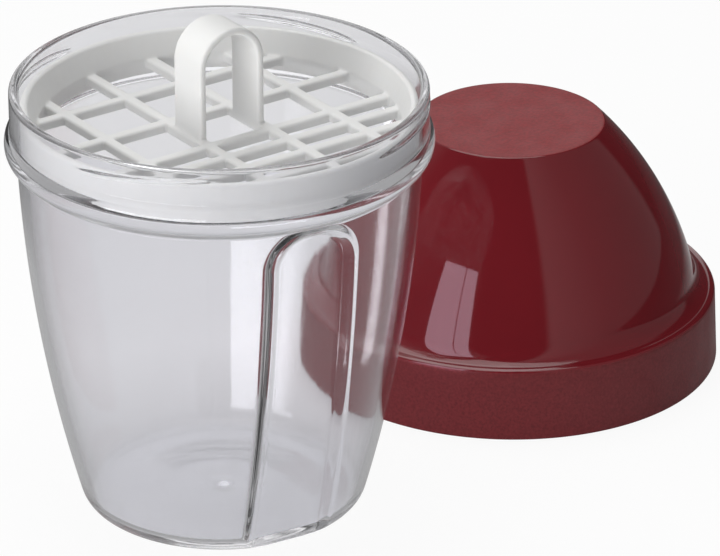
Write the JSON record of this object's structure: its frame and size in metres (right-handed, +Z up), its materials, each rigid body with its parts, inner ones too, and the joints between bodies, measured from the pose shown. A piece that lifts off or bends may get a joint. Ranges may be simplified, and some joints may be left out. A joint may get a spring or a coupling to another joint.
{
  "type": "mixing shaker",
  "caption": "Clear hand shaker beaker with a threaded neck and arched grip flute, a lift-out strainer grid with a strap handle, and a domed screw lid standing beside it.",
  "frame": {"origin": "centre of the beaker's foot, on the surface that it stands on", "axes": "+Z up along the beaker's axis; the grip flute faces -Y; the lid stands towards +X"},
  "size_m": [0.2107, 0.142, 0.1266],
  "materials": {
    "clear_plastic": "clear, polished",
    "white_plastic": "satin",
    "red_plastic": "glossy dome, fine matt grain on the top and collar"
  },
  "bodies": {
    "beaker": {"beaker": "clear_plastic"},
    "strainer": {"strainer": "white_plastic"},
    "lid": {"lid": "red_plastic"}
  },
  "joints": [
    {"name": "strainer_lift", "type": "slide", "parent": "beaker", "child": "strainer", "axis": [0, 0, 1], "range_m": [0, 0.04]},
    {"name": "lid_lift", "type": "slide", "parent": "beaker", "child": "lid", "axis": [0, 0, 1], "range_m": [0, 0.13]}
  ]
}
